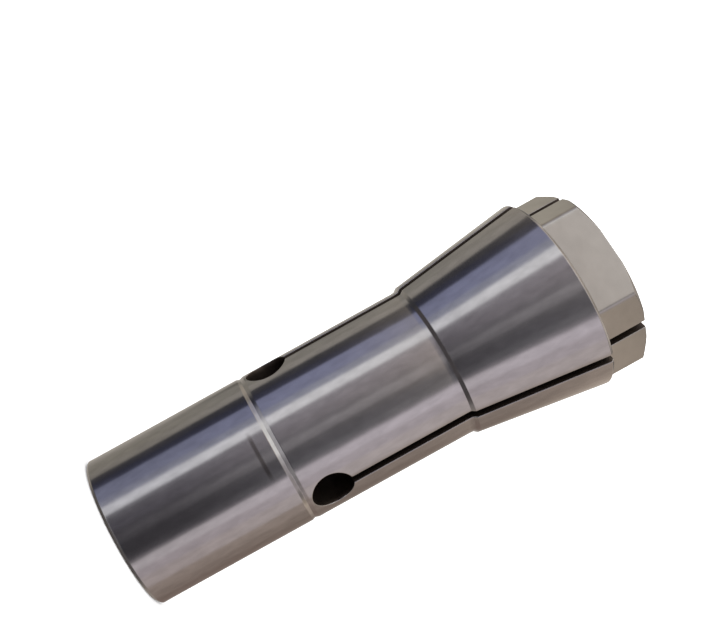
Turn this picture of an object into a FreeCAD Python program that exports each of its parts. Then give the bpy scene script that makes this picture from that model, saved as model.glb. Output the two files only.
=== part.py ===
import FreeCAD, Part
import os
import Sketcher

# A spindle collet: a spring sleeve turned from one bar of spring steel and split into three jaws.
# The origin is the centre of the rear face. +Z runs along the axis, towards the hexagon nose.
# One slot lies in the +X half of the XZ plane, and the others follow it round the axis.

# Driving dimensions, in millimetres and degrees
driving = {
    # shank
    "shank_dia": 15.0,
    "shank_length": 33.1,
    "rear_chamfer": 0.3,
    "ring_place": 16.55,        # middle of the shallow ring, from the rear face
    "ring_width": 0.7,
    "ring_depth": 0.12,
    # clamping cone
    "step_rise": 0.3,           # the cone's small end stands this far above the shank
    "step_run": 0.6,
    "cone_length": 12.6,
    "cone_angle": 16.0,         # included angle of the taper
    "rim_rise": 0.25,           # bevel between the cone and the hexagon's shoulder
    "rim_run": 0.25,
    # hexagon nose
    "hex_width": 16.0,          # across flats
    "hex_length": 4.2,
    "face_dia": 16.2,           # circle that the corner chamfer leaves on the front face
    "face_angle": 30.0,         # corner chamfer, measured from the front face
    # bores
    "grip_dia": 6.0,
    "grip_length": 22.0,
    "mouth_chamfer": 0.3,
    "relief_dia": 8.4,
    "drill_angle": 118.0,       # drill point between the relief bore and the gripping bore
    "thread_core_dia": 8.917,   # core of the M10 x 1 draw-in thread
    "thread_depth": 12.0,
    "thread_lead": 0.6,         # lead-in chamfer at the rear mouth
    # slots
    "slot_count": 3,
    "slot_width": 0.9,
    "spring_hole_dia": 4.1,     # radial hole that ends each slot
    "spring_hole_place": 19.15,
    "cut_margin": 1.0,          # how far a cut runs on past the surface that it leaves
}

full_turn = 360.0               # degrees
hexagon_sides = 6

# How a sketch names the ends and the centre of an edge, its own origin and its axes
start_point, end_point, centre_point = 1, 2, 3
x_axis, y_axis = -1, -2
origin = (-1, start_point)

# Expressions for what follows from the driving dimensions
shank_radius = "Sizes.shank_dia / 2"
cone_start = "(Sizes.shank_length + Sizes.step_run)"
cone_end = f"({cone_start} + Sizes.cone_length)"
nose_start = f"({cone_end} + Sizes.rim_run)"
body_length = f"({nose_start} + Sizes.hex_length)"
cone_small_radius = f"({shank_radius} + Sizes.step_rise)"
cone_large_radius = f"({cone_small_radius} + Sizes.cone_length * tan(Sizes.cone_angle / 2 * 1 deg))"
nose_radius = f"({cone_large_radius} - Sizes.rim_rise)"
cut_radius = f"({cone_large_radius} + Sizes.cut_margin)"
face_radius = "Sizes.face_dia / 2"
grip_radius = "Sizes.grip_dia / 2"
relief_radius = "Sizes.relief_dia / 2"
thread_radius = "Sizes.thread_core_dia / 2"
grip_start = f"({body_length} - Sizes.grip_length)"
relief_end = f"({grip_start} - ({relief_radius} - {grip_radius}) / tan(Sizes.drill_angle / 2 * 1 deg))"


def make_sheet(doc):
    """The driving dimensions as a spreadsheet: names in column A, values in column B."""
    sheet = doc.addObject("Spreadsheet::Sheet", "Sizes")
    for row, (alias, value) in enumerate(driving.items(), start=1):
        sheet.set(f"A{row}", alias)
        sheet.set(f"B{row}", str(value))
        sheet.setAlias(f"B{row}", alias)
    doc.recompute()


def origin_feature(body, role):
    """The body's own origin plane or axis that has this role."""
    return next(item for item in body.Origin.OriginFeatures if item.Role == role)


def new_sketch(body, name, plane):
    sketch = body.newObject("Sketcher::SketchObject", name)
    sketch.AttachmentSupport = [(origin_feature(body, plane), "")]
    sketch.MapMode = "FlatFace"
    return sketch


def dimension(sketch, constraint, name, expression):
    """Adds a named dimension to the sketch and binds it to an expression of the sheet."""
    index = sketch.addConstraint(constraint)
    sketch.renameConstraint(index, name)
    sketch.setExpression(f"Constraints.{name}", expression)


def value_of(sketch, expression):
    return float(sketch.evalExpression(expression))


def draw_outline(sketch, corners):
    """A closed outline of straight edges. Each corner is (name, x, y): x and y are expressions,
    measured from the sketch's origin, and None puts the corner on that axis."""
    points = [
        FreeCAD.Vector(value_of(sketch, x) if x else 0, value_of(sketch, y) if y else 0, 0)
        for _, x, y in corners
    ]
    edges = [Part.LineSegment(start, end) for start, end in zip(points, points[1:] + points[:1])]
    sketch.addGeometry(edges, False)
    for edge, (name, x, y) in enumerate(corners):
        previous = (edge - 1) % len(corners)
        sketch.addConstraint(Sketcher.Constraint("Coincident", previous, end_point, edge, start_point))
        if x:
            constraint = Sketcher.Constraint("DistanceX", *origin, edge, start_point, points[edge].x)
            dimension(sketch, constraint, f"{name}_x", x)
        else:
            sketch.addConstraint(Sketcher.Constraint("PointOnObject", edge, start_point, y_axis))
        if y:
            constraint = Sketcher.Constraint("DistanceY", *origin, edge, start_point, points[edge].y)
            dimension(sketch, constraint, f"{name}_y", y)
        else:
            sketch.addConstraint(Sketcher.Constraint("PointOnObject", edge, start_point, x_axis))


def turn_blank(body):
    """The turned outside: shank with its ring, step, clamping cone, rim bevel and nose."""
    section = new_sketch(body, "turned_section", "XZ_Plane")
    draw_outline(section, [
        ("rear_centre", None, None),
        ("rear_edge", f"{shank_radius} - Sizes.rear_chamfer", None),
        ("rear_chamfer", shank_radius, "Sizes.rear_chamfer"),
        ("ring_rear", shank_radius, "Sizes.ring_place - Sizes.ring_width / 2"),
        ("ring_bottom", f"{shank_radius} - Sizes.ring_depth", "Sizes.ring_place"),
        ("ring_front", shank_radius, "Sizes.ring_place + Sizes.ring_width / 2"),
        ("shank_end", shank_radius, "Sizes.shank_length"),
        ("cone_small", cone_small_radius, cone_start),
        ("cone_large", cone_large_radius, cone_end),
        ("rim", nose_radius, nose_start),
        ("nose_edge", nose_radius, body_length),
        ("nose_centre", None, body_length),
    ])
    blank = body.newObject("PartDesign::Revolution", "turned_blank")
    blank.Profile = section
    blank.ReferenceAxis = (origin_feature(body, "Z_Axis"), [""])
    blank.Angle = full_turn
    return blank


def groove_round(body, name, section):
    """Cuts the section away all round the axis."""
    groove = body.newObject("PartDesign::Groove", name)
    groove.Profile = section
    groove.ReferenceAxis = (origin_feature(body, "Z_Axis"), [""])
    groove.Angle = full_turn
    return groove


def bore_out(body):
    """The inside, from the rear: thread core, relief bore, drill point and gripping bore."""
    section = new_sketch(body, "bore_section", "XZ_Plane")
    draw_outline(section, [
        ("thread_centre", None, None),
        ("thread_mouth", f"{thread_radius} + Sizes.thread_lead", None),
        ("thread_start", thread_radius, "Sizes.thread_lead"),
        ("thread_end", thread_radius, "Sizes.thread_depth"),
        ("relief_start", relief_radius, "Sizes.thread_depth"),
        ("relief_end", relief_radius, relief_end),
        ("grip_start", grip_radius, grip_start),
        ("grip_end", grip_radius, f"{body_length} - Sizes.mouth_chamfer"),
        ("grip_mouth", f"{grip_radius} + Sizes.mouth_chamfer", body_length),
        ("grip_centre", None, body_length),
    ])
    return groove_round(body, "bores", section)


def mill_hexagon(body):
    """Mills the nose to a hexagon whose flats face the slots, down to the cone's shoulder."""
    section = new_sketch(body, "hexagon_section", "XY_Plane")
    section.setExpression("AttachmentOffset.Base.z", body_length)
    flat_radius = value_of(section, "Sizes.hex_width / 2")
    rim_radius = value_of(section, cut_radius)
    middle, axis = FreeCAD.Vector(), FreeCAD.Vector(0, 0, 1)
    turn = FreeCAD.Rotation(axis, full_turn / hexagon_sides)
    half_side = flat_radius * value_of(section, f"tan({full_turn / hexagon_sides / 2} * 1 deg)")
    corners = [FreeCAD.Vector(flat_radius, -half_side, 0)]
    for _ in range(hexagon_sides):
        corners.append(turn.multVec(corners[-1]))
    section.addGeometry([Part.LineSegment(a, b) for a, b in zip(corners, corners[1:])], False)
    rim = section.addGeometry(Part.Circle(middle, axis, rim_radius), False)
    guide = section.addGeometry(Part.Circle(middle, axis, corners[0].Length), True)
    for edge in range(hexagon_sides):
        following = (edge + 1) % hexagon_sides
        section.addConstraint(Sketcher.Constraint("Coincident", edge, end_point, following, start_point))
        section.addConstraint(Sketcher.Constraint("PointOnObject", edge, start_point, guide))
        if edge:
            section.addConstraint(Sketcher.Constraint("Equal", 0, edge))
    section.addConstraint(Sketcher.Constraint("Coincident", guide, centre_point, *origin))
    section.addConstraint(Sketcher.Constraint("Coincident", rim, centre_point, *origin))
    section.addConstraint(Sketcher.Constraint("Vertical", 0))
    dimension(section, Sketcher.Constraint("Distance", *origin, 0, flat_radius),
              "flat_radius", "Sizes.hex_width / 2")
    dimension(section, Sketcher.Constraint("Radius", rim, rim_radius), "rim_radius", cut_radius)
    flats_cut = body.newObject("PartDesign::Pocket", "hexagon_flats")
    flats_cut.Profile = section
    flats_cut.Type = "Length"
    flats_cut.setExpression("Length", "Sizes.hex_length")
    return flats_cut


def chamfer_corners(body):
    """Turns the hexagon's corners away towards the front face."""
    section = new_sketch(body, "corner_chamfer_section", "XZ_Plane")
    chamfer_drop = f"({cut_radius} - {face_radius}) * tan(Sizes.face_angle * 1 deg)"
    draw_outline(section, [
        ("face_edge", face_radius, body_length),
        ("outer_low", cut_radius, f"{body_length} - {chamfer_drop}"),
        ("outer_high", cut_radius, body_length),
    ])
    return groove_round(body, "corner_chamfer", section)


def drill_spring_hole(body):
    """The radial hole where a slot ends, from the axis out through the +X side."""
    section = new_sketch(body, "spring_hole_section", "YZ_Plane")
    radius = value_of(section, "Sizes.spring_hole_dia / 2")
    place = value_of(section, "Sizes.spring_hole_place")
    hole = section.addGeometry(Part.Circle(FreeCAD.Vector(0, place, 0),
                                           FreeCAD.Vector(0, 0, 1), radius), False)
    section.addConstraint(Sketcher.Constraint("PointOnObject", hole, centre_point, y_axis))
    dimension(section, Sketcher.Constraint("DistanceY", *origin, hole, centre_point, place),
              "place", "Sizes.spring_hole_place")
    dimension(section, Sketcher.Constraint("Radius", hole, radius),
              "radius", "Sizes.spring_hole_dia / 2")
    drilled = body.newObject("PartDesign::Pocket", "spring_hole")
    drilled.Profile = section
    drilled.Type = "Length"
    drilled.Reversed = True
    drilled.setExpression("Length", cut_radius)
    return drilled


def saw_slot(body):
    """The saw slot from the spring hole out through the nose, on the +X side of the axis."""
    section = new_sketch(body, "slot_section", "XZ_Plane")
    beyond_nose = f"{body_length} + Sizes.cut_margin"
    draw_outline(section, [
        ("inner_rear", None, "Sizes.spring_hole_place"),
        ("outer_rear", cut_radius, "Sizes.spring_hole_place"),
        ("outer_front", cut_radius, beyond_nose),
        ("inner_front", None, beyond_nose),
    ])
    slot = body.newObject("PartDesign::Pocket", "saw_slot")
    slot.Profile = section
    slot.Type = "Length"
    slot.SideType = "Symmetric"
    slot.setExpression("Length", "Sizes.slot_width")
    return slot


def repeat_round_axis(body, name, features, count):
    """Repeats the features round the collet's axis."""
    pattern = body.newObject("PartDesign::PolarPattern", name)
    pattern.Originals = features
    pattern.Axis = (origin_feature(body, "Z_Axis"), [""])
    pattern.Angle = full_turn
    pattern.setExpression("Occurrences", count)
    body.Tip = pattern
    return pattern


def check(doc, part):
    """Stops if anything failed to compute or the part isn't one sound solid."""
    failed = [item.Name for item in doc.Objects if {"Invalid", "Error"} & set(item.State)]
    if failed:
        raise RuntimeError(f"not computed: {failed}")
    shape = part.Shape
    if shape.isNull() or not shape.isValid() or len(shape.Solids) != 1:
        raise RuntimeError(f"{part.Label} is not one valid solid")


doc = FreeCAD.newDocument("spindle_collet")
make_sheet(doc)
collet = doc.addObject("PartDesign::Body", "collet")
collet.Label = "collet_body"
collet.Placement = FreeCAD.Placement()

volume = None
for make in (turn_blank, bore_out, mill_hexagon, chamfer_corners, drill_spring_hole, saw_slot):
    feature = make(collet)
    doc.recompute()
    left = feature.Shape.Volume
    if volume is not None and left >= volume:
        raise RuntimeError(f"{feature.Name} cut nothing")
    volume = left
    print(f"{feature.Name}: {volume:.1f} mm3 left")

cuts = [doc.getObject("spring_hole"), doc.getObject("saw_slot")]
repeat_round_axis(collet, "jaw_cuts", cuts, "Sizes.slot_count")
doc.recompute()
check(doc, collet)

os.makedirs("parts", exist_ok=True)
collet.Shape.exportStep(f"parts/{collet.Label}.step")
box = collet.Shape.BoundBox
print(f"{collet.Label}: {collet.Shape.Volume:.1f} mm3")
print(f"overall: {box.XLength:.2f} x {box.YLength:.2f} x {box.ZLength:.2f} mm")
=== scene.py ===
import math

import bmesh
import bpy
import numpy as np
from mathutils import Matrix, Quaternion, Vector


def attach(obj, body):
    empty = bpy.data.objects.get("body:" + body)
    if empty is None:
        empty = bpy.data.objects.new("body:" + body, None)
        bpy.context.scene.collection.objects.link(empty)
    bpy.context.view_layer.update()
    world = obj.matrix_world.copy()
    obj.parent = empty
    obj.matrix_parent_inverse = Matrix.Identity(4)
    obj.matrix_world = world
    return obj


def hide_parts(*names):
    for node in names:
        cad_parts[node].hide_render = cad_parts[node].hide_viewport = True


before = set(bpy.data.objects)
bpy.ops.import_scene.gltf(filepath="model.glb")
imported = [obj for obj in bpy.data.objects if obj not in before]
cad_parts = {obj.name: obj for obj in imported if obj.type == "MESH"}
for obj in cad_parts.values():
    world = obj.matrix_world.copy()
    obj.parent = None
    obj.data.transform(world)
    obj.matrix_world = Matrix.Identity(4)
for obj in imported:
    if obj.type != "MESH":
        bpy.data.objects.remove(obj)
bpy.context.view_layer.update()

mm = 0.001
scene = bpy.context.scene
scene.view_settings.view_transform = "Standard"  # keeps the white ground white, as in the picture

# camera: the picture shows the collet aslant, so the camera is rolled about its own axis
cameraView = {
    "azimuth": -50.787,  # degrees from +X towards +Y: the side it looks from
    "distance": 103.038,  # mm from the collet's axis
    "height": 17.558,
    "aimAside": -11.211,  # mm beside the axis, to the camera's right
    "aimHeight": 17.148,
    "roll": 60.983,
    "lens": 55.179,
    "shift": (0.18, 0.0455),  # the picture is the corner of a larger one
}


def makeCamera(view):
    turn = math.radians(view["azimuth"])
    outward = Vector((math.cos(turn), math.sin(turn), 0))
    aside = Vector((-math.sin(turn), math.cos(turn), 0))
    place = outward * view["distance"] + Vector((0, 0, view["height"]))
    aim = aside * view["aimAside"] + Vector((0, 0, view["aimHeight"]))
    data = bpy.data.cameras.new("photoCamera")
    camera = bpy.data.objects.new("photoCamera", data)
    scene.collection.objects.link(camera)
    camera.location = place * mm
    camera.rotation_mode = "QUATERNION"
    level = (aim - place).to_track_quat("-Z", "Y")
    camera.rotation_quaternion = level @ Quaternion((0, 0, 1), math.radians(view["roll"]))
    data.lens = view["lens"]
    data.shift_x, data.shift_y = view["shift"]
    data.clip_start, data.clip_end = mm, 10  # from 1 mm to 10 m
    scene.camera = camera


makeCamera(cameraView)
print("camera placed")

# the collet's sizes in mm, the same as in the CAD
collet = {
    "shankRadius": 7.5,
    "shankLength": 33.1,
    "rearChamfer": 0.3,
    "ringPlace": 16.55,
    "ringWidth": 0.7,
    "ringDepth": 0.12,
    "stepRise": 0.3,
    "stepRun": 0.6,
    "coneLength": 12.6,
    "coneAngle": 16.0,
    "rimRise": 0.25,
    "rimRun": 0.25,
    "hexWidth": 16.0,
    "hexLength": 4.2,
    "faceRadius": 8.1,
    "faceAngle": 30.0,
    "gripRadius": 3.0,
    "gripLength": 22.0,
    "mouthChamfer": 0.3,
    "reliefRadius": 4.2,
    "drillAngle": 118.0,
    "threadPitch": 1.0,
    "threadCore": 4.4585,
    "threadDepth": 12.0,
    "threadLead": 0.6,
    "slotCount": 3,
    "slotWidth": 0.9,
    "holeRadius": 2.05,
    "holePlace": 19.15,
    # finish of the edges, which the CAD leaves sharp
    "slotEdge": 0.06,  # rounding along the slots and holes
    "turnedEdge": 0.06,
    "ringEdge": 0.02,
    "coneEdge": 0.012,
    "hexCorner": 0.5,
    "hexDeburr": 0.09,
    # corners of the step's hollow foot: distance before the cone, rise above the shank, rounding
    "stepFoot": ((0.75, 0.0, 0.06), (0.52, 0.01, 0.05), (0.34, 0.03, 0.012)),
    # fineness of the mesh
    "sideColumns": 9,
    "backColumns": 9,
    "wallRows": 8,
    "holeStep": 6,  # degrees from row to row round a spring hole
    "rearFaceRow": 0.5,  # beyond the thread's mouth
    "shankRow": 8.0,  # heights of rows on plain stretches
    "slotRows": (23.0, 30.0),
    "reliefRow": 14.5,
    "slotStartRow": 0.1,  # beyond the slot's start
    "holeRows": (1.5, 1, 0.6, 0.3, 0.1),  # distances below a hole, in roundings of its edge
    "hexRows": (0.35, 0.7),  # shares of a flat's length
    "cornerColumns": (-1.8, -1, -0.5, 0, 0.5, 1, 1.8),  # either side of a corner, in reaches of its arc
    "threadRows": 10,  # to the pitch
    "sharpAngle": 35,  # degrees at which the shading breaks
}

c = collet
coneStart = c["shankLength"] + c["stepRun"]
coneEnd = coneStart + c["coneLength"]
noseStart = coneEnd + c["rimRun"]
bodyLength = noseStart + c["hexLength"]
coneSmall = c["shankRadius"] + c["stepRise"]
coneLarge = coneSmall + c["coneLength"] * math.tan(math.radians(c["coneAngle"] / 2))
noseRadius = coneLarge - c["rimRise"]
flatRadius = c["hexWidth"] / 2
gripStart = bodyLength - c["gripLength"]
reliefEnd = gripStart - (c["reliefRadius"] - c["gripRadius"]) / math.tan(math.radians(c["drillAngle"] / 2))
halfSlot = c["slotWidth"] / 2
holeBottom = c["holePlace"] - c["holeRadius"]
slotStart = c["holePlace"] + math.sqrt(c["holeRadius"] ** 2 - halfSlot ** 2)

# The collet is six like halves of a jaw, 60 degrees each, from a slot's middle to the middle of the
# metal. A half is a grid: its rows follow the section's outline, its columns go round the axis.
# The first columns keep a fixed distance from the slot's edge, the rest share out the angle.
edgeTurn = np.radians([0, 30, 60, 90])
edgeOffsets = np.append(c["slotEdge"] * (1 - np.cos(edgeTurn)), c["slotEdge"] * 1.5)
edgeCount = len(edgeOffsets)
roundStart = (flatRadius - c["hexCorner"]) * math.tan(math.radians(30))  # where a flat ends, from its middle
cornerReach = math.radians(30) - math.atan(roundStart / flatRadius)
cornerAngles = math.radians(30) + cornerReach * np.array(c["cornerColumns"])
sideSteps = np.linspace(0, 1, c["sideColumns"] + 2)[1:-1]
backAngles = np.linspace(cornerAngles[-1], math.radians(60), c["backColumns"] + 1)[1:]
columnCount = edgeCount + len(sideSteps) + len(cornerAngles) + len(backAngles)


# half width of a cut grown by an offset: the hole's chord sqrt((R + d)^2 - (z - z0)^2),
# and past the hole's centre at least half the slot plus the offset
def cutHalfWidth(z, offset):
    hole = np.sqrt(np.clip((c["holeRadius"] + offset) ** 2 - (z - c["holePlace"]) ** 2, 0, None))
    slot = np.where(z > c["holePlace"], halfSlot + offset, 0)
    return np.maximum(hole, slot)


# rows of the grid at the radii r and heights z: the edge columns lie at y = half width of the cut,
# x = sqrt(r^2 - y^2), and the others at angles shared out between the edge and 60 degrees.
# Below the hole, where there is no cut, the edge columns stay a rounding's width apart.
def latheRows(r, z, inside=False):
    r, z = np.atleast_1d(r)[:, None], np.atleast_1d(z)[:, None]
    aside = np.maximum(cutHalfWidth(z, edgeOffsets[None, :]), c["slotEdge"] * np.arange(edgeCount))
    edge = np.arcsin(np.clip(aside / r, 0, 1))
    last = edge[:, -1:]
    if inside:
        share = np.arange(1, columnCount - edgeCount + 1) / (columnCount - edgeCount)
        others = last + (math.radians(60) - last) * share
    else:
        side = last + (cornerAngles[0] - last) * sideSteps
        fixed = np.append(cornerAngles, backAngles)
        others = np.hstack([side, np.repeat(fixed[None, :], len(z), axis=0)])
    angle = np.hstack([edge, others])
    return np.stack([r * np.cos(angle), r * np.sin(angle), z + 0 * angle], axis=-1)


# one row outside, at a radius and a height
def lathe(radius, height):
    return latheRows(radius, height)[0]


# plan of the hexagon: distance over cosine on a flat, and round each corner an arc of radius p
# about a centre at distance k: k cos(a) + sqrt(p^2 - k^2 sin(a)^2)
def hexagonRadius(angle):
    fromFlat = np.minimum(angle, math.radians(60) - angle)
    onFlat = flatRadius / np.cos(fromFlat)
    centre = (flatRadius - c["hexCorner"]) / math.cos(math.radians(30))
    turn = angle - math.radians(30)
    reach = np.sqrt(np.clip(c["hexCorner"] ** 2 - (centre * np.sin(turn)) ** 2, 0, None))
    arc = centre * np.cos(turn) + reach
    return np.where(np.abs(turn) < cornerReach, arc, onFlat)


# one row round the hexagon, taken in by a margin and no wider than a circle, at the height z
def hexagonRow(z, margin=0.0, widest=np.inf):
    aside = halfSlot + edgeOffsets
    last = math.atan2(aside[-1], flatRadius)
    side = last + (cornerAngles[0] - last) * sideSteps
    angle = np.concatenate([side, cornerAngles, backAngles])
    radius = np.minimum(hexagonRadius(angle) - margin, widest)
    x = np.concatenate([np.full(edgeCount, flatRadius - margin), radius * np.cos(angle)])
    y = np.concatenate([aside, radius * np.sin(angle)])
    return np.stack([x, y, z + 0 * x], axis=-1)


# rows along a path of stations. A corner with a reach becomes the parabola
# (1 - t)^2 A + 2 t (1 - t) P + t^2 B between the points A and B before and after it, which lie no
# further off than a share of the stretch to the next station. One more row outside each end, at the
# reach times hold, keeps the shading of the faces beside it.
def pathRows(stations, steps=4, share=0.3, hold=1.5):
    rows, starts = [], {}
    for index, (name, corner, reach) in enumerate(stations):
        starts[name] = len(rows)
        if reach == 0:
            rows.append(corner)
            continue
        back, ahead = stations[index - 1][1] - corner, stations[index + 1][1] - corner
        backLength = np.linalg.norm(back, axis=-1, keepdims=True)
        aheadLength = np.linalg.norm(ahead, axis=-1, keepdims=True)
        before = back / backLength * np.minimum(reach, backLength * share)
        after = ahead / aheadLength * np.minimum(reach, aheadLength * share)
        rows.append(corner + before * hold)
        for t in np.linspace(0, 1, steps + 1):
            rows.append(corner + (1 - t) ** 2 * before + t ** 2 * after)
        rows.append(corner + after * hold)
    return np.array(rows), starts


# outward normals of a grid: along the columns' direction crossed with along the rows' direction
def gridNormals(rows):
    alongColumn = np.gradient(rows, axis=0)
    alongRow = np.gradient(rows, axis=1)
    normal = np.cross(alongRow, alongColumn)
    return normal / np.maximum(np.linalg.norm(normal, axis=-1, keepdims=True), 1e-12)


# how far the cut's rounded edge drops below the surface: e - sqrt(e^2 - (e - d)^2) at a distance
# d from the cut, where d is the least of the distance to the hole's rim and to the slot's side
def edgeDrop(rows):
    y, z = rows[..., 1], rows[..., 2]
    fromHole = np.hypot(y, z - c["holePlace"]) - c["holeRadius"]
    fromSlot = np.where(z > c["holePlace"], y - halfSlot, np.inf)
    distance = np.clip(np.minimum(fromHole, fromSlot), 0, c["slotEdge"])
    return c["slotEdge"] - np.sqrt(np.clip(c["slotEdge"] ** 2 - (c["slotEdge"] - distance) ** 2, 0, None))


# radius of the shank: the ring is a shallow V
def shankAt(z):
    halfRing = c["ringWidth"] / 2
    return np.interp(z, c["ringPlace"] + np.array([-halfRing, 0, halfRing]),
                     c["shankRadius"] - np.array([0, c["ringDepth"], 0]))


# radius of the bores in front of the thread
def boreAt(z):
    relief, grip, chamfer = c["reliefRadius"], c["gripRadius"], c["mouthChamfer"]
    heights = [0, reliefEnd, gripStart, bodyLength - chamfer, bodyLength]
    return np.interp(z, heights, [relief, relief, grip, grip, grip + chamfer])


# the outside of half a jaw, from the mouth of the thread round to the rim of the front face
def outsideRows():
    shank, edge, ring = c["shankRadius"], c["turnedEdge"], c["ringPlace"]
    mouthRadius = c["threadCore"] + c["threadLead"]
    stations = [("rearMouth", lathe(mouthRadius, 0), 0),
                ("rearFace", lathe(mouthRadius + c["rearFaceRow"], 0), 0),
                ("rearRim", lathe(shank - c["rearChamfer"], 0), edge),
                ("shank", lathe(shank, c["rearChamfer"]), edge),
                ("shankMiddle", lathe(shank, c["shankRow"]), 0),
                ("ringRear", lathe(shank, ring - c["ringWidth"] / 2), edge),
                ("ring", lathe(shank - c["ringDepth"], ring), c["ringEdge"]),
                ("ringFront", lathe(shank, ring + c["ringWidth"] / 2), edge)]
    # rows close round the hole: just below it for its rounded edge, then z = z0 - R cos(a)
    below = holeBottom - c["slotEdge"] * np.array(c["holeRows"])
    slotTurn = 180 - math.degrees(math.asin(halfSlot / c["holeRadius"]))
    roundHole = c["holePlace"] - c["holeRadius"] * np.cos(np.radians(np.arange(0, slotTurn, c["holeStep"])))
    lowSlotRow, highSlotRow = c["slotRows"]
    further = [slotStart, slotStart + c["slotStartRow"], lowSlotRow, reliefEnd, gripStart, highSlotRow]
    stations += [("belowHole", lathe(shankAt(z), z), 0) for z in below]
    stations += [("wall" if z == roundHole[0] else "hole", lathe(shankAt(z), z), 0) for z in roundHole]
    stations += [("slot", lathe(shank, z), 0) for z in further]
    for before, rise, reach in c["stepFoot"]:
        stations.append(("step", lathe(shank + rise, coneStart - before), reach))
    stations += [("cone", lathe(coneSmall, coneStart), c["coneEdge"]),
                 ("coneMiddle", lathe((coneSmall + coneLarge) / 2, (coneStart + coneEnd) / 2), 0),
                 ("rim", lathe(coneLarge, coneEnd), edge), ("shoulder", lathe(noseRadius, noseStart), edge)]
    # each flat ends where the corner chamfer meets it, as far below the face as the chamfer falls there
    root, flat = hexagonRow(noseStart), hexagonRow(0)
    face = hexagonRow(bodyLength, c["hexDeburr"], c["faceRadius"])
    fall = np.linalg.norm(flat[:, :2], axis=1) - np.linalg.norm(face[:, :2], axis=1)
    flat[:, 2] = bodyLength - fall * math.tan(math.radians(c["faceAngle"]))
    stations.append(("hexRoot", root, edge))
    stations += [("hex", root + (flat - root) * part, 0) for part in c["hexRows"]]
    stations += [("hexEnd", flat, edge), ("face", face, edge),
                 ("mouth", latheRows(c["gripRadius"] + c["mouthChamfer"], bodyLength, inside=True)[0], 0)]
    return pathRows(stations)


# the three grids of half a jaw: its skin from the rear mouth to the bore, the wall of its cut, its bore
def buildHalfJaw():
    outer, starts = outsideRows()
    outer, mouth = outer[:-1], outer[-1]
    across = np.linspace(0, 1, c["wallRows"])
    front = outer[-1] + (mouth - outer[-1]) * across[:, None, None]
    skin = np.concatenate([outer, front[1:]])
    skin = skin - gridNormals(skin) * edgeDrop(skin)[..., None]
    faceRow = len(outer) - 1
    # Each row of the cut's wall has a row of the bore opposite it. Along the grip the bore's rows share
    # out the height as the outer rows share out their path.
    path = outer[starts["wall"]:, 0]
    step = np.linalg.norm(np.diff(path, axis=0), axis=1)
    height = path[:, 2].copy()
    inGrip = height >= gripStart - 1e-9
    travel = np.cumsum(np.append(0, step[np.flatnonzero(inGrip)[:-1]]))
    height[inGrip] = gripStart + (bodyLength - gripStart) * travel / travel[-1]
    mouthStart = bodyLength - c["mouthChamfer"]
    height[np.abs(height - mouthStart).argmin()] = mouthStart
    bore = latheRows(boreAt(height), height, inside=True)
    rim, inner = skin[starts["wall"]:faceRow + 1, None, 0], bore[:, None, 0]
    wall = rim * (1 - across[:, None]) + inner * across[:, None]
    bore[-1] = skin[-1]
    wall[-1] = skin[faceRow:, 0]
    rearHeights = [holeBottom, c["reliefRow"], c["threadDepth"]]
    rear = latheRows(np.full(len(rearHeights), c["reliefRadius"]), rearHeights, inside=True)
    bore = np.concatenate([bore[::-1], rear[1:]])
    return skin, wall[:, ::-1], bore, starts


# internal thread: at each height the turn of the helix gives the place in the pitch, s = z/p - a/2pi,
# and the groove is a V of 60 degrees with a flat crest p/4 and a flat root p/8, fading out at its end
def buildThread(angle):
    pitch, depth = c["threadPitch"], c["threadDepth"]
    rowStep = pitch / c["threadRows"]
    z = np.concatenate([[depth, depth - rowStep], np.arange(depth - 2 * rowStep, 0, -rowStep), [0]])[:, None]
    place = np.abs((z / pitch - angle[None, :] / (2 * math.pi)) % 1 - 0.5)
    grooveDepth = 0.5413 * pitch  # 5/8 of the height of the full V
    groove = np.interp(place, [1 / 16, 3 / 8], [grooveDepth, 0])
    fade = np.clip((depth - z) / pitch, 0, 1)
    radius = c["threadCore"] + groove * fade
    radius = np.maximum(radius, c["threadCore"] + c["threadLead"] - z)
    radius[-1] = c["threadCore"] + c["threadLead"]
    return np.stack([radius * np.cos(angle), radius * np.sin(angle), z + 0 * radius], axis=-1)


# faces of one grid: each quad's corners are its index, the next in the row, and the two a row on
def gridFaces(rows, columns, closed=False):
    lastColumn = columns if closed else columns - 1
    row, column = np.meshgrid(np.arange(rows - 1) * columns, np.arange(lastColumn), indexing="ij")
    following = (column + 1) % columns
    quads = [row + column, row + following, row + columns + following, row + columns + column]
    return np.stack(quads, axis=-1).reshape(-1, 4)


finishes = ["ground", "milled", "faced", "sawn", "bored"]  # in the order of the materials


# the finish of each row of faces on the outside, by the station it starts from
def skinFinish(starts, count):
    middle = 3  # of the seven rows of a rounded corner
    finish = np.full(count, finishes.index("ground"))
    finish[:starts["shank"] - 1] = finishes.index("faced")
    finish[starts["shoulder"] + middle + 1:starts["hexRoot"] + middle] = finishes.index("faced")
    finish[starts["hexRoot"] + middle:starts["hexEnd"] + middle] = finishes.index("milled")
    finish[starts["hexEnd"] + middle:] = finishes.index("faced")
    return finish


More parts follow.
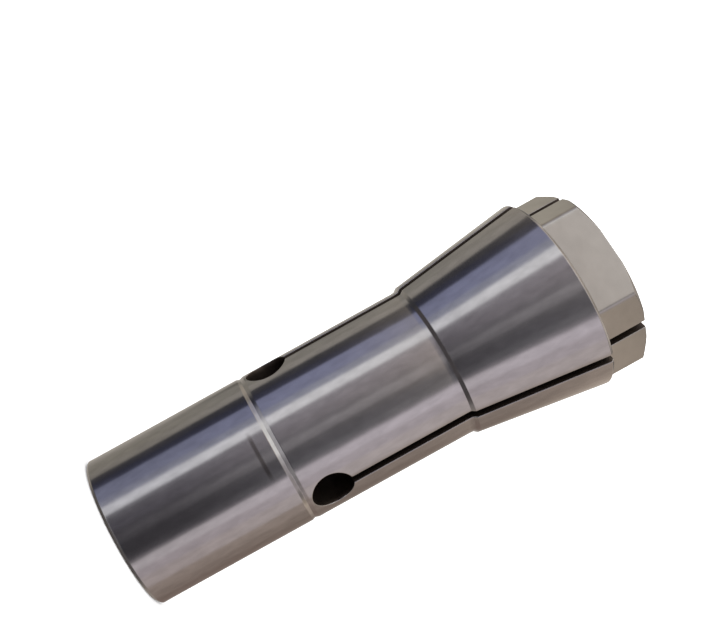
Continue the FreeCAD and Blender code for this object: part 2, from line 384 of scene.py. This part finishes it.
# The half jaw and its mirror image, turned to each slot, with the thread. The mesh isn't closed: the
# thread is a shell of its own whose faces point into the steel, with a ring 0.26 mm wide open at its
# inner end, and hairline seams stay open at its mouth and at the bottoms of the spring holes.
def buildCollet():
    skin, wall, bore, starts = buildHalfJaw()
    ringAngles = np.arctan2(bore[-1, :, 1], bore[-1, :, 0])
    rowFinish = skinFinish(starts, len(skin) - 1)
    grids = [(skin, np.repeat(rowFinish, skin.shape[1] - 1)),
             (wall, np.full((wall.shape[0] - 1) * (wall.shape[1] - 1), finishes.index("sawn"))),
             (bore, np.full((bore.shape[0] - 1) * (bore.shape[1] - 1), finishes.index("bored")))]
    points, faces, finish = [], [], []
    count = 0
    turns = [2 * math.pi * turn / c["slotCount"] for turn in range(c["slotCount"])]
    for turn in turns:
        cosine, sine = math.cos(turn), math.sin(turn)
        rotation = np.array([[cosine, sine, 0], [-sine, cosine, 0], [0, 0, 1]])
        for side in (1, -1):
            for grid, kind in grids:
                points.append((grid * [1, side, 1]).reshape(-1, 3) @ rotation)
                quads = gridFaces(*grid.shape[:2]) + count
                faces.append(quads[:, ::side])
                finish.append(kind)
                count += len(points[-1])
    half = np.concatenate([-ringAngles[:0:-1], ringAngles[:-1]])
    around = np.concatenate([half + turn for turn in turns])
    thread = buildThread(around)
    points.append(thread.reshape(-1, 3))
    faces.append(gridFaces(*thread.shape[:2], closed=True) + count)
    finish.append(np.full(len(faces[-1]), finishes.index("bored")))
    mesh = bpy.data.meshes.new("collet")
    mesh.from_pydata(np.concatenate(points) * mm, [], np.concatenate(faces))
    mesh.polygons.foreach_set("material_index", np.concatenate(finish).astype(np.int32))
    body = bmesh.new()
    body.from_mesh(mesh)
    bmesh.ops.remove_doubles(body, verts=body.verts, dist=1e-4 * mm)
    bmesh.ops.dissolve_degenerate(body, edges=body.edges, dist=1e-5 * mm)
    bmesh.ops.recalc_face_normals(body, faces=body.faces)
    openEdges = sum(not edge.is_manifold for edge in body.edges)
    volume = round(body.calc_volume() / mm ** 3, 1)
    print("collet:", len(body.faces), "faces,", openEdges, "open edges, volume in mm3", volume)
    body.to_mesh(mesh)
    body.free()
    mesh.polygons.foreach_set("use_smooth", np.ones(len(mesh.polygons), bool))
    mesh.set_sharp_from_angle(angle=math.radians(c["sharpAngle"]))
    piece = bpy.data.objects.new("collet", mesh)
    scene.collection.objects.link(piece)
    return piece


colletPiece = buildCollet()
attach(colletPiece, "root")
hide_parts("collet_body")
print("collet built")


# linear colour of an sRGB hex number: ((v + 0.055) / 1.055)^2.4 above the short straight piece
def colour(hexText):
    values = [int(hexText[i:i + 2], 16) / 255 for i in (1, 3, 5)]
    return [v / 12.92 if v <= 0.04045 else ((v + 0.055) / 1.055) ** 2.4 for v in values] + [1]


# a shader node with its settings, the sockets linked to it and the constant values of others
def addNode(tree, kind, settings=None, links=None, **values):
    node = tree.nodes.new("ShaderNode" + kind)
    for name, value in (settings or {}).items():
        setattr(node, name, value)
    for name, value in values.items():
        node.inputs[name.replace("_", " ")].default_value = value
    for name, source in (links or {}).items():
        tree.links.new(source, node.inputs[name])
    return node


# an empty material and its node tree
def newMaterial(name):
    material = bpy.data.materials.new(name)
    material.use_nodes = True
    material.node_tree.nodes.clear()
    return material, material.node_tree


# the distance from the axis, sqrt(x^2 + y^2), for marks that run in rings
def turnedPlace(tree, place):
    flat = addNode(tree, "VectorMath", {"operation": "MULTIPLY"}, {0: place})
    flat.inputs[1].default_value = (1, 1, 0)
    reach = addNode(tree, "VectorMath", {"operation": "LENGTH"}, {0: flat.outputs[0]})
    return addNode(tree, "CombineXYZ", None, {"X": reach.outputs["Value"]}).outputs[0]


# 1 on a mark that runs part of the way round: product of two slopes, one in the height's distance
# from the mark and one in the angle's
def markMask(tree, place, mark):
    parts = addNode(tree, "SeparateXYZ", None, {"Vector": place})
    angle = addNode(tree, "Math", {"operation": "ARCTAN2"}, {0: parts.outputs["Y"], 1: parts.outputs["X"]})
    start, end = np.radians(mark["angles"])
    slopes = []
    across = (parts.outputs["Z"], mark["height"] * mm, mark["width"] / 2 * mm)
    around = (angle.outputs[0], (start + end) / 2, (end - start) / 2)
    for (source, centre, half), solid in zip((across, around), mark["solid"]):
        away = addNode(tree, "Math", {"operation": "SUBTRACT"}, {0: source})
        away.inputs[1].default_value = centre
        away = addNode(tree, "Math", {"operation": "ABSOLUTE"}, {0: away.outputs[0]})
        slope = addNode(tree, "MapRange", None, {"Value": away.outputs[0]}, From_Min=half * solid,
                        From_Max=half, To_Min=1.0, To_Max=0.0)
        slopes.append(slope.outputs["Result"])
    both = addNode(tree, "Math", {"operation": "MULTIPLY"}, {0: slopes[0], 1: slopes[1]})
    return both.outputs[0]


# noise with a given number of spots to the metre along x, y and z
def spots(tree, place, scale, detail=2.0):
    stretch = addNode(tree, "Mapping", None, {"Vector": place}, Scale=scale)
    noise = addNode(tree, "TexNoise", None, {"Vector": stretch.outputs["Vector"]}, Scale=1.0, Detail=detail)
    return noise.outputs["Fac"]


# a cut steel: fine lines along the tool's path and a slight waviness bend the reflections, clouds
# vary the roughness and a grain varies the colour. A mark, if any, is darker and duller.
def makeSteel(name, look):
    material, tree = newMaterial(name)
    place = addNode(tree, "TexCoord").outputs["Object"]
    along = turnedPlace(tree, place) if look.get("turned") else place
    lines = spots(tree, along, look["lines"], detail=3.0)
    bump = addNode(tree, "Bump", None, {"Height": lines}, Strength=1.0, Distance=look["lineDepth"] * mm)
    waves = spots(tree, place, look["waves"])
    bump = addNode(tree, "Bump", None, {"Height": waves, "Normal": bump.outputs["Normal"]},
                   Strength=1.0, Distance=look["waveDepth"] * mm)
    smooth, dull = look["roughness"]
    rough = addNode(tree, "MapRange", None, {"Value": spots(tree, place, clouds)},
                    To_Min=smooth, To_Max=dull)
    tint = addNode(tree, "ValToRGB", None, {"Fac": spots(tree, along, look["grain"], detail=3.0)})
    for element, shade, position in zip(tint.color_ramp.elements, (look["dark"], look["light"]), tintRange):
        element.color, element.position = colour(shade), position
    base, roughness = tint.outputs["Color"], rough.outputs["Result"]
    if "mark" in look:
        mask = markMask(tree, place, look["mark"])
        base = addNode(tree, "Mix", {"data_type": "RGBA"}, {0: mask, 6: base}).outputs[2]
        base.node.inputs[7].default_value = colour(look["mark"]["colour"])
        roughness = addNode(tree, "Math", {"operation": "MULTIPLY_ADD"}, {0: mask, 2: roughness}).outputs[0]
        roughness.node.inputs[1].default_value = look["mark"]["rougher"]
    links = {"Base Color": base, "Roughness": roughness, "Normal": bump.outputs["Normal"]}
    if look["anisotropic"]:
        tangent = addNode(tree, "Tangent", {"direction_type": "RADIAL", "axis": "Z"})
        links["Tangent"] = tangent.outputs["Tangent"]
    steel = addNode(tree, "BsdfPrincipled", None, links, Metallic=1.0, Anisotropic=look["anisotropic"],
                    Anisotropic_Rotation=shineTurn)
    addNode(tree, "OutputMaterial", None, {"Surface": steel.outputs["BSDF"]})
    return material


# Lines, waves, grain and clouds: how many to the metre along x, y and z. Depths are in mm. Real
# grinding and turning lines are too fine to show, so they are drawn coarser, 0.14 to 0.25 mm apart.
clouds = (220, 220, 220)
shineTurn = 0.25  # of a full turn, between the tangent round the axis and the drawn-out shine
tintRange = (0.3, 0.7)  # part of the noise's range over which the grain goes from dark to light
looks = {
    # near a mirror, its reflections drawn out a little along the axis and faintly mottled
    "groundSteel": {
        "lines": (60, 60, 7000), "lineDepth": 0.0002, "waves": (350, 350, 60), "waveDepth": 0.008,
        "grain": (1400, 1400, 600), "dark": "#c1bfbe", "light": "#cfcdcc",
        "roughness": (0.16, 0.2), "anisotropic": 0.5,
        # a short rub mark: height and width in mm, angles in degrees, solid share of width and length
        "mark": {"height": 14.85, "width": 0.5, "angles": (-70, -31), "solid": (0.4, 0.6),
                 "colour": "#928e8c", "rougher": 0.05},
    },
    # satin flats of one even tone
    "milledSteel": {
        "lines": (150, 150, 4000), "lineDepth": 0.0003, "waves": (300, 300, 300), "waveDepth": 0.01,
        "grain": (500, 500, 700), "dark": "#c0beba", "light": "#c9c7c3",
        "roughness": (0.28, 0.34), "anisotropic": 0.3,
    },
    # fine rings round the axis that catch the light
    "facedSteel": {
        "turned": True,
        "lines": (5000, 0, 0), "lineDepth": 0.002, "waves": (200, 200, 200), "waveDepth": 0.006,
        "grain": (5000, 0, 0), "dark": "#b3b0ad", "light": "#c5c2bf",
        "roughness": (0.24, 0.3), "anisotropic": 0.6,
    },
    # dull and dark in the slots, with soft blotches about 1 mm across: the dullness and blotches are the
    # sawn steel's own, the dark colour is painted shade of the narrow slots
    "sawnSteelAndPaintedShade": {
        "lines": (900, 900, 900), "lineDepth": 0.004, "waves": (300, 300, 300), "waveDepth": 0.01,
        "grain": (900, 900, 900), "dark": "#655c55", "light": "#6f665f",
        "roughness": (0.45, 0.55), "anisotropic": 0.0,
    },
    # duller than the outside, with the rings of the boring tool; its darker, warmer colour is painted shade
    # of the bore
    "boredSteelAndPaintedShade": {
        "lines": (60, 60, 5000), "lineDepth": 0.003, "waves": (300, 300, 300), "waveDepth": 0.01,
        "grain": (60, 60, 5000), "dark": "#a89f98", "light": "#b2aaa5",
        "roughness": (0.35, 0.45), "anisotropic": 0.0,
    },
}
for name, look in looks.items():
    colletPiece.data.materials.append(makeSteel(name, look))
print("materials made")

# Panels of light stand round the collet, and the streaks on its steel are their reflections.
# Angles are in degrees about the collet, 0 being the camera's side.
panelRing = {
    "radius": 0.6,  # m
    # from, to, colour low down, at the collet's middle and high up
    "middle": [
        (-180, -163, "#b0a9a1", "#cfcac4", "#cfcac4"), (-163, -148, "#b5afa6", "#b5afa6", "#cdc6b9"),
        (-148, -135, "#a39d95", "#605d58", "#cdc6b9"),
        (-135, -112, "#948f86", "#949089", "#bdb2a4"), (-112, -99.5, "#948f88", "#a19c96", "#bdb2a4"),
        (-99.5, -88, "#3e3d44", "#3b3b42", "#c0b5a8"), (-88, -77, "#383949", "#363849", "#c4baae"),
        (-77, -56, "#8588a0", "#8c90af", "#cdc2b6"), (-56, -46, "#9193a6", "#9fa2b4", "#d4c9bd"),
        (-46, -32.5, "#e8e9f0", "#f8f8fc", "#ffffff"), (-32.5, -19, "#5b5961", "#9b969e", "#deccbe"),
        (-19, -8, "#504e57", "#908b92", "#deccbe"), (-8, -1, "#45434a", "#817e84", "#deccbe"),
        (-1, 5, "#4d4b51", "#9b989d", "#deccbe"), (5, 11, "#454349", "#918e93", "#deccbe"),
        (11, 17, "#343238", "#68666b", "#d2c4b8"), (17, 30, "#39373c", "#646268", "#b0a8a2"),
        (30, 37, "#403e43", "#717075", "#b0a8a2"), (37, 43, "#5c585e", "#88848a", "#b0a8a2"),
        (43, 57.5, "#cdc6ca", "#dad2da", "#dad2da"), (57.5, 72, "#b8aeb3", "#c6bdc3", "#c6bdc3"),
        (72, 93, "#bfb3b2", "#cbc1c1", "#cbc1c1"), (93, 112, "#a6978f", "#a99b93", "#dccbb9"),
        (112, 130, "#96877f", "#998b82", "#ccbdaf"), (130, 163, "#87776f", "#8b7d74", "#d8c8ba"),
        (163, 180, "#b0a9a1", "#cfcac4", "#cfcac4"),
    ],
    # from, to, colour
    "upper": [
        (-180, -90, "#7a7672"), (-90, -66, "#a6a6b6"), (-66, -50, "#d6d6e0"), (-50, 12, "#ffffff"),
        (12, 28, "#c4c2c6"), (28, 50, "#aaa5a9"), (50, 80, "#aaa2a2"), (80, 130, "#6a6560"),
        (130, 180, "#86807c"),
    ],
    # from, to, colour, colour at the foot
    "lower": [
        (-180, -125, "#a8a199", "#8f8880"), (-125, -74, "#3c3c42", "#545052"),
        (-74, -52, "#a4a4ae", "#545052"), (-52, -32, "#f6f6f8", "#545052"), (-32, 16, "#d2d0d4", "#545052"),
        (16, 38, "#98959a", "#545052"), (38, 60, "#9b9899", "#545052"), (60, 112, "#8a8484", "#56504f"),
        (112, 180, "#a59b92", "#8c837b"),
    ],
    "table": [(-180, -110, "#6a6663"), (-110, 110, "#545052"), (110, 180, "#6a6663")],
    "ceiling": [(-180, 180, "#cfc4ba")],
    # share of the radius, height in m, list and which of its colours, half width in degrees of the
    # panels' soft edges. Between these heights the colours run into each other.
    "rows": [
        (0, -0.75, "table", 0, 20), (1, -0.75, "table", 0, 20), (1, -0.54, "lower", 1, 8),
        (1, -0.49, "lower", 0, 7), (1, -0.34, "lower", 0, 7), (1, -0.24, "middle", 0, 7),
        (1, -0.05, "middle", 0, 0.5), (1, 0.01, "middle", 1, 0.5), (1, 0.1, "middle", 1, 0.5),
        (1, 0.22, "middle", 2, 5), (1, 0.33, "upper", 0, 5), (1, 0.52, "upper", 0, 5),
        (1, 0.68, "ceiling", 0, 5), (1, 0.75, "ceiling", 0, 5), (0, 0.75, "ceiling", 0, 5),
    ],
    "step": 0.5,  # degrees from column to column
    "backSoft": 9,  # least half width at the back, which it reaches between these two angles
    "backFrom": (112, 150),
}


# colours of a list of panels at some angles, each the mean over w degrees to both sides:
# (C(a + w) - C(a - w)) / 2w, where C is the running sum of colour times width
def panelColours(panels, which, angle, window):
    ends = np.array([-180.0] + [end for _, end, *_ in panels])
    shades = np.array([colour(shown[which])[:3] for _, _, *shown in panels])
    total = np.vstack([np.zeros(3), np.cumsum(shades * np.diff(ends)[:, None], axis=0)])

    def running(place):
        turns, rest = np.divmod(place + 180, 360)
        sums = np.stack([np.interp(rest - 180, ends, channel) for channel in total.T], axis=-1)
        return sums + turns[:, None] * total[-1]

    return (running(angle + window) - running(angle - window)) / (2 * window[:, None])


# an object of the studio, which is no part of the collet
def stagePiece(name, mesh):
    piece = bpy.data.objects.new(name, mesh)
    scene.collection.objects.link(piece)
    return piece


# a wall round the collet with a table and a ceiling, facing inward, that only the steel's shine sees
def makePanels(ring):
    angle = np.arange(-180, 180, ring["step"])
    windows = [np.interp(np.abs(angle), ring["backFrom"], (soft, max(soft, ring["backSoft"])))
               for *_, soft in ring["rows"]]
    turned = np.radians(angle + cameraView["azimuth"])
    share, height = (np.array([row[i] for row in ring["rows"]])[:, None] for i in (0, 1))
    radius = ring["radius"] * share
    points = np.stack([radius * np.cos(turned), radius * np.sin(turned), height + 0 * turned], axis=-1)
    shades = np.ones((*points.shape[:2], 4), np.float32)
    shades[..., :3] = [panelColours(ring[name], which, angle, window)
                       for (_, _, name, which, _), window in zip(ring["rows"], windows)]
    mesh = bpy.data.meshes.new("lightPanels")
    mesh.from_pydata(points.reshape(-1, 3), [], gridFaces(*points.shape[:2], closed=True)[:, ::-1])
    mesh.color_attributes.new("glow", "FLOAT_COLOR", "POINT").data.foreach_set("color", shades.ravel())
    material, tree = newMaterial("lightPanels")
    shade = addNode(tree, "VertexColor", {"layer_name": "glow"})
    glow = addNode(tree, "Emission", None, {"Color": shade.outputs["Color"]}, Strength=1.0)
    addNode(tree, "OutputMaterial", None, {"Surface": glow.outputs["Emission"]})
    mesh.materials.append(material)
    piece = stagePiece("lightPanels", mesh)
    piece.visible_camera = piece.visible_diffuse = piece.visible_shadow = False


makePanels(panelRing)
print("light panels placed")

# a pale floor, lit evenly from all round; neither shows in the steel
studio = {
    "floorHalf": 40,  # m
    "floorColour": "#f4f4f4",
    "floorRoughness": 0.9,
    "lightColour": "#ffffff",
    "lightStrength": 1.9,
}


# the floor and the even light of the world
def makeStudio(look):
    half = look["floorHalf"]
    mesh = bpy.data.meshes.new("floor")
    corners = [(-half, -half, 0), (half, -half, 0), (half, half, 0), (-half, half, 0)]
    mesh.from_pydata(corners, [], [(0, 1, 2, 3)])
    stagePiece("floor", mesh).visible_glossy = False
    # white paper without shine
    paper, tree = newMaterial("matWhitePaper")
    sheet = addNode(tree, "BsdfPrincipled", None, None, Base_Color=colour(look["floorColour"]),
                    Roughness=look["floorRoughness"])
    addNode(tree, "OutputMaterial", None, {"Surface": sheet.outputs["BSDF"]})
    mesh.materials.append(paper)
    world = bpy.data.worlds.new("evenLight")
    scene.world = world
    world.use_nodes = True
    background = world.node_tree.nodes["Background"]
    background.inputs["Color"].default_value = colour(look["lightColour"])
    background.inputs["Strength"].default_value = look["lightStrength"]
    world.cycles_visibility.glossy = False


makeStudio(studio)
print("floor and world made")
